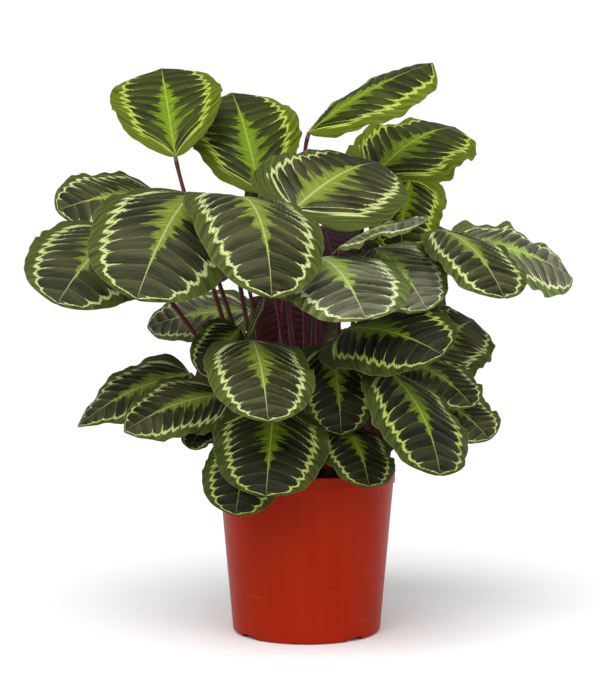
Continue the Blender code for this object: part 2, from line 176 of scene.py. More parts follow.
def outline(leaf, u):
    """The blade's half width at u from base to tip, as a share of the widest."""
    widest = leaf.heel / (leaf.heel + leaf.toe)
    peak = widest**leaf.heel * (1 - widest) ** leaf.toe
    share = np.clip(u, 0, 1) ** leaf.heel * np.clip(1 - u, 0, 1) ** leaf.toe / peak
    return BLUNT_END + (1 - BLUNT_END) * share


def ripple(leaf, u, v):
    """The wave of the blade's edge, different on each leaf and on each side."""
    start = sum(leaf.base) * WAVE_START
    left = np.sin(2 * math.pi * (LEFT_WAVES * u + start))
    right = np.sin(2 * math.pi * (RIGHT_WAVES * u - start))
    return leaf.wave * v**2 * np.sqrt(np.sin(math.pi * u)) * np.where(v < 0, left, right)


def vein_place(u, v):
    """Where the side vein through a point leaves the midrib. It is the same all along one vein."""
    w = np.abs(v)
    sweep = VEIN_SWEEP * ((1 - VEIN_BEND) * w + VEIN_BEND * w**3)
    return (u - sweep) / (1 - sweep)


def fine_lift(leaf, u, v, seed):
    """The pleats between the side veins and the small waves of the edge."""
    turn = VEINS * vein_place(u, v) + np.where(v < 0, 0.35, 0.0)
    puff = np.abs(np.sin(math.pi * turn)) ** 0.7 - 0.6
    w = np.abs(v)
    hold = np.clip(w / 0.15, 0, 1) * (1 - 0.6 * w**3) * np.sqrt(np.sin(math.pi * np.clip(u, 0, 1)))
    frill = 1.5 * leaf.wave * w**6 * np.sin(2 * math.pi * (6.5 * u + seed + np.where(v < 0, 0.4, 0)))
    return PLEAT * puff * hold + 0.35 * frill * np.sqrt(np.sin(math.pi * np.clip(u, 0, 1)))


def edge_wander(leaf, u, v, seed):
    """Small bays and swellings of the blade's outline, as a share of its half width."""
    side = np.where(v < 0, 1.7, 0.0)
    slow = np.sin(2 * math.pi * (1.7 * u + 0.37 * seed + side))
    fast = np.sin(2 * math.pi * (7.3 * u + 0.61 * seed + 2 * side)) * np.sin(2 * math.pi * (2.1 * u + seed))
    return 1 + (0.02 * slow + NICKS * leaf.wave * fast) * np.sin(math.pi * u)


def blade_surface(leaf, u, v, seed):
    """Points on the blade's middle surface, and the direction out of its upper face."""
    along, side, normal = blade_axes(leaf)
    chord = np.linalg.norm(np.subtract(leaf.tip, leaf.base))
    half_turn = math.radians(leaf.bow) / 2
    angle = (half_turn * (1 - 2 * u))[..., None]
    reach = (math.sin(half_turn) - np.sin(angle)) / (2 * math.sin(half_turn))
    rise = (np.cos(angle) - math.cos(half_turn)) / (2 * math.sin(half_turn))
    spine = np.array(leaf.base, float) + chord * (reach * along + rise * normal)
    up = np.cos(angle) * normal - np.sin(angle) * along
    skew = math.radians(leaf.skew)
    pinch = 1 - 0.62 * np.exp(-((1 - u) / 0.035))
    across = leaf.width / 2 * outline(leaf, u) * v * edge_wander(leaf, u, v, seed) * pinch
    droop = leaf.width / 2 * outline(leaf, u) * leaf.cup * v**2
    lift = ripple(leaf, u, v) - droop + fine_lift(leaf, u, v, seed)
    sweep = math.cos(skew) * side + math.sin(skew) * along
    back = LOBES * chord * (1 - u) ** 3 * (outline(leaf, u) * np.abs(v)) ** 1.5
    return spine + across[..., None] * sweep - back[..., None] * along + lift[..., None] * up


def mesh_object(name, points, faces, materials, slots=None, uv=None, smooth_angle=50):
    """A mesh object from points in millimetres, shaded smooth, with its materials and UV map."""
    mesh = bpy.data.meshes.new(name)
    mesh.from_pydata((np.asarray(points) * MM).tolist(), [], faces)
    for material in materials:
        mesh.materials.append(material)
    if slots is not None:
        mesh.polygons.foreach_set("material_index", slots)
    if uv is not None:
        layer = mesh.uv_layers.new(name="UVMap")
        corner = np.empty(len(mesh.loops), dtype=np.int32)
        mesh.loops.foreach_get("vertex_index", corner)
        layer.data.foreach_set("uv", np.asarray(uv)[corner].ravel())
    mesh.shade_smooth()
    mesh.set_sharp_from_angle(angle=math.radians(smooth_angle))
    thing = bpy.data.objects.new(name, mesh)
    bpy.context.scene.collection.objects.link(thing)
    return thing


def spread(count, crowding):
    """Numbers from -1 to 1, closer together at 0 and at both ends."""
    t = np.linspace(-1, 1, count + 1)
    return t - crowding * np.sin(2 * math.pi * t) / (2 * math.pi)


def make_blade(name, leaf, seed, upper, under):
    """The blade as a thin closed sheet with a grooved midrib above and a ridge below."""
    u_line = (1 - np.cos(np.linspace(0, math.pi, ROWS + 1))) / 2
    v_line = spread(COLUMNS, 0.72)
    u, v = np.meshgrid(u_line, v_line, indexing="ij")
    middle = blade_surface(leaf, u, v, seed)
    normal = -np.cross(np.gradient(middle, axis=0), np.gradient(middle, axis=1))
    normal /= np.maximum(np.linalg.norm(normal, axis=2, keepdims=True), 1e-9)
    half = (BLADE_THICKNESS + (EDGE_THICKNESS - BLADE_THICKNESS) * np.abs(v)) / 2
    across = np.abs(v) * leaf.width / 2 * outline(leaf, u)
    rib = np.exp(-((across / MIDRIB_WIDTH) ** 2)) * (1 - 0.8 * u)
    upper_points = middle + (half - 0.5 * rib)[..., None] * normal
    under_points = middle - (half + MIDRIB_RIDGE * rib)[..., None] * normal
    points = np.concatenate([upper_points.reshape(-1, 3), under_points.reshape(-1, 3)])
    wide = COLUMNS + 1
    below = (ROWS + 1) * wide
    faces = []
    slots = []
    for row in range(ROWS):
        for column in range(COLUMNS):
            a = row * wide + column
            quad = (a, a + wide, a + wide + 1, a + 1)
            faces.append(quad)
            faces.append(tuple(below + i for i in reversed(quad)))
            slots += [0, 1]
    edge = rim_of_grid(ROWS + 1, wide)
    for a, b in zip(edge, edge[1:] + edge[:1]):
        faces.append((a, b, below + b, below + a))
        slots.append(0)
    uv = np.stack([u.ravel(), 0.5 + 0.5 * v.ravel()], axis=1)
    return mesh_object(name, points, faces, [upper, under], slots, np.concatenate([uv, uv]))


def rim_of_grid(rows, columns):
    """The point numbers round a grid, in order."""
    last = (rows - 1) * columns
    first_row = list(range(columns))
    right = [row * columns + columns - 1 for row in range(1, rows)]
    last_row = list(range(last + columns - 2, last - 1, -1))
    left = [row * columns for row in range(rows - 2, 0, -1)]
    return first_row + right + last_row + left


def petiole_end(leaf):
    """Where the petiole stops just short of the blade, and the direction in which it arrives."""
    along, _, normal = blade_axes(leaf)
    half_turn = math.radians(leaf.bow) / 2
    start = math.cos(half_turn) * along + math.sin(half_turn) * normal
    upper = math.cos(half_turn) * normal - math.sin(half_turn) * along
    knee = min(max(STEEPEST_ARRIVAL - math.degrees(math.asin(start[2])), 0), leaf.knee)
    arrival = math.cos(math.radians(knee)) * start + math.sin(math.radians(knee)) * upper
    return np.array(leaf.base, float), arrival


def petiole_path(leaf, steps):
    """Points from inside the sheath to the blade's base, and the directions there."""
    root = np.array((*SHOOTS[leaf.shoot], SOIL_LEVEL + PETIOLE_START))
    end, arrival = petiole_end(leaf)
    out = unit((end - root) * (1, 1, 0))
    root = root + PETIOLE_SPREAD * out
    far = np.linalg.norm(end - root)
    first = root + PETIOLE_RISE * far * unit(UP + PETIOLE_SPLAY * out) + np.array((*leaf.lean, 0))
    second = end - min(PETIOLE_NECK * far, LONGEST_NECK) * arrival
    t = np.linspace(0, 1, steps + 1)[:, None]
    path = (1 - t) ** 3 * root + 3 * t * (1 - t) ** 2 * first + 3 * t**2 * (1 - t) * second + t**3 * end
    tangents = (1 - t) ** 2 * (first - root) + 2 * t * (1 - t) * (second - first) + t**2 * (end - second)
    return path, tangents / np.linalg.norm(tangents, axis=1, keepdims=True)


def tube_grid(path, tangents, radii, sides):
    """Rings of points along a path."""
    side = unit(np.cross(tangents[0], (0.31, 0.95, 0.05)))
    rings = []
    for point, tangent, radius in zip(path, tangents, radii):
        side = unit(side - tangent * side.dot(tangent))
        other = np.cross(tangent, side)
        turn = 2 * math.pi * np.arange(sides) / sides
        ring = point + radius * (np.cos(turn)[:, None] * side + np.sin(turn)[:, None] * other)
        rings.append(ring)
    return np.array(rings)


def tube_faces(rings, sides, first=0):
    faces = [tuple(first + i for i in reversed(range(sides)))]
    faces.append(tuple(first + (rings - 1) * sides + i for i in range(sides)))
    for ring in range(rings - 1):
        for i in range(sides):
            low = first + ring * sides + i
            after = first + ring * sides + (i + 1) % sides
            faces.append((low, after, after + sides, low + sides))
    return faces


def make_shoot(number, skin, sheath_skin):
    """One shoot: its petioles, each with a swollen joint under the blade, and the sheath round their feet."""
    points, faces, slots, uv = [], [], [], []

    def add(rings, sides, slot):
        first = sum(len(part) for part in points)
        points.append(rings.reshape(-1, 3))
        new = tube_faces(len(rings), sides, first)
        faces.extend(new)
        slots.extend([slot] * len(new))
        along = np.repeat(np.linspace(0, 1, len(rings)), sides)
        around = np.tile(np.arange(sides) / sides, len(rings))
        uv.append(np.stack([along, around], axis=1))

    for name, leaf in LEAVES.items():
        if leaf.shoot != number:
            continue
        path, tangents = petiole_path(leaf, PETIOLE_STEPS)
        lengths = np.concatenate([[0], np.cumsum(np.linalg.norm(np.diff(path, axis=0), axis=1))])
        to_end = lengths[-1] - lengths
        t = np.linspace(0, 1, len(path))
        radii = PETIOLE_FOOT_RADIUS + (PETIOLE_NECK_RADIUS - PETIOLE_FOOT_RADIUS) * t
        joint = np.exp(-(((to_end - PULVINUS_LENGTH / 2) / (0.55 * PULVINUS_LENGTH)) ** 4))
        radii = radii + PULVINUS_SWELL * joint
        radii = radii + SHEATH_SWELL * np.clip(1 - lengths / SHEATH_REACH, 0, 1)
        add(tube_grid(path, tangents, radii, PETIOLE_SIDES), PETIOLE_SIDES, 0)

    place = np.array(SHOOTS[number])
    heights = np.linspace(SOIL_LEVEL - 2, SOIL_LEVEL + SHEATH_HEIGHT, SHEATH_RINGS)
    turn = 2 * math.pi * np.arange(SHEATH_SIDES) / SHEATH_SIDES
    rings = []
    for height in heights:
        share = np.clip((height - SOIL_LEVEL - SHEATH_STRAIGHT) / (SHEATH_HEIGHT - SHEATH_STRAIGHT), 0, 1)
        radius = SHEATH_RADIUS + (SHEATH_TOP_RADIUS - SHEATH_RADIUS) * share
        ribs = 1 + 0.06 * np.cos(7 * turn + number + 1.5 * share) + 0.03 * np.cos(19 * turn)
        rings.append(
            np.stack(
                [
                    place[0] + radius * ribs * np.cos(turn),
                    place[1] + radius * ribs * np.sin(turn),
                    np.full(SHEATH_SIDES, height),
                ],
                axis=1,
            )
        )
    add(np.array(rings), SHEATH_SIDES, 1)
    return mesh_object(
        f"shoot_{number}_fine", np.concatenate(points), faces, [skin, sheath_skin], slots, np.concatenate(uv), 60
    )


PULVINUS_LENGTH = 13.0
PULVINUS_SWELL = 0.45
SHEATH_SWELL = 1.3
SHEATH_REACH = 70.0
SHEATH_RADIUS = 8.3
SHEATH_TOP_RADIUS = 5.5
SHEATH_STRAIGHT = 8.0
SHEATH_HEIGHT = 30.0
SHEATH_RINGS = 14
SHEATH_SIDES = 40

# Pot, as in the solid
POT_HEIGHT = 170.0
POT_TOP_RADIUS = 95.0
POT_NECK_RADIUS = 92.6
POT_FOOT_RADIUS = 78.0
POT_WALL = 2.0
RIM_DEPTH = 13.0
FLOOR_HEIGHT = 6.0
FLOOR_THICKNESS = 2.4
FOOT_RING_WIDTH = 8.0
CENTRE_PAD_RADIUS = 14.0
CENTRE_PAD_SLOPE = 3.0
NOTCH_COUNT = 4
NOTCH_WIDTH = 22.0
NOTCH_HEIGHT = 4.0
NOTCH_FIRST_ANGLE = -51.0
DRAIN_COUNT = 6
DRAIN_RADIUS = 5.0
DRAIN_CIRCLE_RADIUS = 46.0
POT_SIDES = 192
FOOT_ROUNDING = 4.0


def wall_radius(height):
    """The outer radius of the pot's tapered wall at a height, below the rim."""
    share = height / (POT_HEIGHT - RIM_DEPTH)
    return POT_FOOT_RADIUS + (POT_NECK_RADIUS - POT_FOOT_RADIUS) * share


def arc(centre, radius, start, end, steps):
    """Points of a circular arc in the (radius, height) plane, with its angles in degrees."""
    turns = np.radians(np.linspace(start, end, steps))
    return [(centre[0] + radius * math.cos(a), centre[1] + radius * math.sin(a)) for a in turns]


def pot_profile():
    """The pot's section from the middle of its underside, round the wall and back to the middle of its floor."""
    neck = POT_HEIGHT - RIM_DEPTH
    floor_top = FLOOR_HEIGHT + FLOOR_THICKNESS
    ring_inner = POT_FOOT_RADIUS - FOOT_RING_WIDTH
    foot_centre = (wall_radius(FOOT_ROUNDING) - FOOT_ROUNDING, FOOT_ROUNDING)
    profile = [(0, 0), (CENTRE_PAD_RADIUS, 0)]
    profile += [(CENTRE_PAD_RADIUS + CENTRE_PAD_SLOPE, FLOOR_HEIGHT), (ring_inner - 1, FLOOR_HEIGHT)]
    profile += [(ring_inner, FLOOR_HEIGHT - 1), (ring_inner + 0.4, 0.4), (ring_inner + 0.8, 0)]
    profile += arc(foot_centre, FOOT_ROUNDING, -90, 0, 8)
    profile += [(wall_radius(h), h) for h in np.linspace(FOOT_ROUNDING + 4, neck - 0.6, 10)]
    profile += [(wall_radius(neck) + 0.15, neck - 0.2), (wall_radius(neck) + 0.7, neck + 0.1)]
    profile += arc((POT_TOP_RADIUS - 1.4, neck + 0.7), 0.5, -90, -10, 5)
    rim_low = (POT_TOP_RADIUS - 0.85, neck + 2.2)
    profile += [rim_low, (POT_TOP_RADIUS - 0.5, POT_HEIGHT - 3.2)]
    profile += arc((POT_TOP_RADIUS - 0.95, POT_HEIGHT - 1.1), 0.95, -40, 90, 8)
    profile += arc((POT_TOP_RADIUS - 1.4, POT_HEIGHT - 0.6), 0.6, 90, 180, 5)
    profile += [(wall_radius(neck) - POT_WALL, neck), (wall_radius(floor_top) - POT_WALL - 0.6, floor_top + 1)]
    profile += [(wall_radius(floor_top) - POT_WALL - 1.6, floor_top), (0, floor_top)]
    return profile


def turned(name, profile, sides, materials, smooth_angle=40):
    """A solid of revolution round Z. The profile's ends lie on the axis."""
    points, rings = [], []
    for radius, height in profile:
        if radius == 0:
            rings.append([len(points)] * sides)
            points.append((0, 0, height))
            continue
        rings.append(list(range(len(points), len(points) + sides)))
        turn = 2 * math.pi * np.arange(sides) / sides
        points += [(radius * math.cos(a), radius * math.sin(a), height) for a in turn]
    faces = []
    for low, high in zip(rings, rings[1:]):
        for side in range(sides):
            after = (side + 1) % sides
            face = tuple(dict.fromkeys((low[side], low[after], high[after], high[side])))
            if len(face) > 2:
                faces.append(face)
    return mesh_object(name, points, faces, materials, smooth_angle=smooth_angle)


def block(name, corners):
    faces = [(3, 2, 1, 0), (4, 5, 6, 7)]
    faces += [(i, (i + 1) % 4, (i + 1) % 4 + 4, i + 4) for i in range(4)]
    return mesh_object(name, corners, faces, [])


def cut(thing, cutters):
    """Cuts the cutters out of a piece, and removes them."""
    helpers = bpy.data.collections.new("helpers")
    for cutter in cutters:
        helpers.objects.link(cutter)
    modifier = thing.modifiers.new("cut", "BOOLEAN")
    modifier.operand_type = "COLLECTION"
    modifier.collection = helpers
    modifier.operation = "DIFFERENCE"
    modifier.solver = "EXACT"
    mesh = bpy.data.meshes.new_from_object(thing.evaluated_get(bpy.context.evaluated_depsgraph_get()))
    thing.modifiers.clear()
    thing.data = mesh
    for cutter in cutters:
        bpy.data.objects.remove(cutter, do_unlink=True)
    bpy.data.collections.remove(helpers)
    mesh.shade_smooth()
    mesh.set_sharp_from_angle(angle=math.radians(35))


def make_pot(plastic):
    pot = turned("pot_fine", pot_profile(), POT_SIDES, [plastic])
    cutters = []
    for i in range(NOTCH_COUNT):
        angle = math.radians(NOTCH_FIRST_ANGLE - 90 + 360 * i / NOTCH_COUNT)
        out = np.array((math.cos(angle), math.sin(angle), 0))
        side = np.array((-math.sin(angle), math.cos(angle), 0))
        near = POT_FOOT_RADIUS - FOOT_RING_WIDTH - 3
        far = POT_FOOT_RADIUS + 3
        corners = [
            out * reach + side * (NOTCH_WIDTH / 2 - taper) * hand + UP * height
            for height, taper in ((-3, 0), (NOTCH_HEIGHT, 1.5))
            for reach, hand in ((near, -1), (far, -1), (far, 1), (near, 1))
        ]
        cutters.append(block(f"notch_{i}", corners))
    for i in range(DRAIN_COUNT):
        angle = 2 * math.pi * i / DRAIN_COUNT
        hole = [(0, FLOOR_HEIGHT - 3), (DRAIN_RADIUS, FLOOR_HEIGHT - 3)]
        hole += [(DRAIN_RADIUS, FLOOR_HEIGHT + 6), (0, FLOOR_HEIGHT + 6)]
        drill = turned(f"drain_{i}", hole, 24, [])
        centre = (DRAIN_CIRCLE_RADIUS * math.cos(angle) * MM, DRAIN_CIRCLE_RADIUS * math.sin(angle) * MM, 0)
        drill.data.transform(Matrix.Translation(centre))
        cutters.append(drill)
    cut(pot, cutters)
    return pot


def lumps(x, y):
    """Uneven height of the soil, in millimetres."""
    height = np.zeros_like(x)
    rng = np.random.default_rng(5)
    for wavelength, size in ((60, 1.2), (25, 1.0), (11, 0.8), (5, 0.6), (2.6, 0.35)):
        for _ in range(4):
            heading, phase = rng.uniform(0, 2 * math.pi, 2)
            height = height + size / 2 * np.sin(
                2 * math.pi * (x * math.cos(heading) + y * math.sin(heading)) / wavelength + phase
            )
    return height


def make_soil(peat):
    """The top of the soil, lumpy, with crumbs on it, and its plain side and underside."""
    rim = wall_radius(POT_HEIGHT - RIM_DEPTH) - POT_WALL - GAP
    sides, rings_count = 160, 60
    turn = 2 * math.pi * np.arange(sides) / sides
    points, faces = [(0, 0, SOIL_LEVEL + SOIL_CROWN)], []
    for ring in range(1, rings_count + 1):
        radius = rim * ring / rings_count
        x, y = radius * np.cos(turn), radius * np.sin(turn)
        share = radius / rim
        height = SOIL_LEVEL + SOIL_CROWN * (1 - share**3) + lumps(x, y) * (1 - share**8) - 1.0 * share**8
        points += list(zip(x, y, height))
    floor = FLOOR_HEIGHT + FLOOR_THICKNESS + GAP
    low = wall_radius(floor) - POT_WALL - GAP
    points += [(low * math.cos(a), low * math.sin(a), floor) for a in turn]
    points.append((0, 0, floor))
    for i in range(sides):
        after = (i + 1) % sides
        faces.append((0, 1 + i, 1 + after))
        for ring in range(rings_count):
            a = 1 + ring * sides
            faces.append((a + i, a + sides + i, a + sides + after, a + after))
        last = 1 + rings_count * sides
        faces.append((last + after, last + i, len(points) - 1))
    crumbs = np.random.default_rng(9)
    shape = crumb_shape()
    for _ in range(CRUMBS):
        radius = rim * math.sqrt(crumbs.uniform(0, 0.96))
        angle = crumbs.uniform(0, 2 * math.pi)
        x, y = radius * math.cos(angle), radius * math.sin(angle)
        size = crumbs.uniform(0.8, 3.2)
        stretch = crumbs.uniform(0.6, 1.5, 3)
        top = SOIL_LEVEL + SOIL_CROWN * (1 - (radius / rim) ** 3) + float(lumps(np.array(x), np.array(y)))
        spin = Matrix.Rotation(crumbs.uniform(0, 6.3), 3, "Z") @ Matrix.Rotation(crumbs.uniform(-1, 1), 3, "X")
        body = shape[0] * (size * stretch) * crumbs.uniform(0.85, 1.15, (len(shape[0]), 1))
        body = body @ np.array(spin).T + (x, y, top + 0.2 * size)
        first = len(points)
        points += list(map(tuple, body))
        faces += [tuple(first + i for i in face) for face in shape[1]]
    return mesh_object("soil_fine", points, faces, [peat], smooth_angle=70)


SOIL_CROWN = 4.0
CRUMBS = 500


def crumb_shape():
    """A small round lump: points on a unit ball, and its faces."""
    points = [(0, 0, 1)]
    for height in (0.5, -0.3):
        radius = math.sqrt(1 - height**2)
        points += [
            (radius * math.cos(a), radius * math.sin(a), height) for a in 2 * math.pi * np.arange(6) / 6 + height
        ]
    points.append((0, 0, -1))
    faces = []
    for i in range(6):
        after = (i + 1) % 6
        faces.append((0, 1 + i, 1 + after))
        faces.append((1 + i, 7 + i, 7 + after, 1 + after))
        faces.append((13, 7 + after, 7 + i))
    return np.array(points, float), faces


def srgb(red, green, blue):
    """A linear colour from screen values between 0 and 255."""
    values = [c / 255 for c in (red, green, blue)]
    return tuple(c / 12.92 if c <= 0.04045 else ((c + 0.055) / 1.055) ** 2.4 for c in values)


class Nodes:
    """Makes the nodes of one material, each linked to what it takes."""

    def __init__(self, name):
        self.material = bpy.data.materials.new(name)
        self.material.use_nodes = True
        self.tree = self.material.node_tree
        self.shader = self.tree.nodes["Principled BSDF"]

    def put(self, socket, value):
        if isinstance(value, bpy.types.NodeSocket):
            self.tree.links.new(value, socket)
        elif isinstance(value, tuple) and len(value) == 3 and len(socket.default_value) == 4:
            socket.default_value = (*value, 1)
        else:
            socket.default_value = value

    def math(self, operation, *values, clamp=False):
        node = self.tree.nodes.new("ShaderNodeMath")
        node.operation = operation
        node.use_clamp = clamp
        for socket, value in zip(node.inputs, values):
            self.put(socket, value)
        return node.outputs[0]

    def step(self, value, low, high):
        """0 below low and 1 above high, with a smooth change between."""
        node = self.tree.nodes.new("ShaderNodeMapRange")
        node.interpolation_type = "SMOOTHSTEP"
        self.put(node.inputs["Value"], value)
        self.put(node.inputs["From Min"], low)
        self.put(node.inputs["From Max"], high)
        return node.outputs["Result"]

    def mix(self, factor, first, second, blend="MIX"):
        node = self.tree.nodes.new("ShaderNodeMix")
        node.data_type = "RGBA"
        node.blend_type = blend
        self.put(node.inputs["Factor"], factor)
        sockets = [s for s in node.inputs if s.type == "RGBA"]
        self.put(sockets[0], first)
        self.put(sockets[1], second)
        return [s for s in node.outputs if s.type == "RGBA"][0]

    def vector(self, x=0.0, y=0.0, z=0.0):
        node = self.tree.nodes.new("ShaderNodeCombineXYZ")
        for socket, value in zip(node.inputs, (x, y, z)):
            self.put(socket, value)
        return node.outputs[0]

    def noise(self, vector, scale=1.0, detail=2.0, roughness=0.5):
        node = self.tree.nodes.new("ShaderNodeTexNoise")
        self.put(node.inputs["Vector"], vector)
        self.put(node.inputs["Scale"], scale)
        self.put(node.inputs["Detail"], detail)
        self.put(node.inputs["Roughness"], roughness)
        return node.outputs[0]

    def random(self, value):
        node = self.tree.nodes.new("ShaderNodeTexWhiteNoise")
        node.noise_dimensions = "1D"
        self.put(node.inputs["W"], value)
        return node.outputs[0]

    def place(self):
        return self.tree.nodes.new("ShaderNodeTexCoord").outputs["Object"]

    def bump(self, height, distance, strength=1.0):
        node = self.tree.nodes.new("ShaderNodeBump")
        self.put(node.inputs["Height"], height)
        self.put(node.inputs["Distance"], distance)
        self.put(node.inputs["Strength"], strength)
        self.tree.links.new(node.outputs[0], self.shader.inputs["Normal"])

    def finish(self, colour, roughness, **fixed):
        self.put(self.shader.inputs["Base Color"], colour)
        self.put(self.shader.inputs["Roughness"], roughness)
        for name, value in fixed.items():
            self.put(self.shader.inputs[name.replace("_", " ")], value)
        return self.material


class Mood(NamedTuple):
    """The colours of a leaf; the groups are lit and shaded copies of one colouring, which paint the light that falls on
    each leaf.
    """

    dark: tuple
    streak_and_sheen: tuple
    margin: tuple
    feather: tuple
    ring: tuple


# Painted light: each entry is a lit or shaded copy of one colouring. The brighter, yellower one paints light shining
# through the top leaves, low paints shade on the lower and back leaves, pale paints strong sheen, and high is for the
# other upper leaves.
LIT_AND_SHADED_COPIES = {
    "high": Mood((28, 29, 11), (102, 103, 64), (58, 70, 20), (100, 114, 38), (196, 206, 132)),
    "backlit": Mood((20, 26, 2), (84, 96, 24), (78, 91, 5), (88, 110, 4), (176, 192, 74)),
    "low": Mood((15, 15, 7), (66, 67, 40), (46, 58, 15), (80, 100, 14), (168, 182, 88)),
    "pale": Mood((50, 53, 31), (156, 154, 124), (68, 83, 31), (114, 134, 56), (208, 216, 160)),
}


def vein_grid(n):
    """Where a point lies on its leaf: u, the share of the half width, the side, and the veins' own coordinate."""
    split = n.tree.nodes.new("ShaderNodeSeparateXYZ")
    n.tree.links.new(n.tree.nodes.new("ShaderNodeTexCoord").outputs["UV"], split.inputs[0])
    u = split.outputs[0]
    v = n.math("MULTIPLY_ADD", split.outputs[1], 2.0, -1.0)
    left = n.math("LESS_THAN", v, 0.0)
    w = n.math("ABSOLUTE", v)
    bend = n.math("MULTIPLY_ADD", n.math("POWER", w, 3.0), VEIN_BEND, n.math("MULTIPLY", w, 1 - VEIN_BEND))
    sweep = n.math("MULTIPLY", bend, VEIN_SWEEP)
    s = n.math("DIVIDE", n.math("SUBTRACT", u, sweep), n.math("SUBTRACT", 1.0, sweep))
    turn = n.math("ADD", n.math("MULTIPLY", s, VEINS), n.math("MULTIPLY", left, 0.35))
    vein = n.math("ABSOLUTE", n.math("SUBTRACT", n.math("FRACT", n.math("ADD", turn, 0.5)), 0.5))
    return u, v, left, w, s, turn, vein


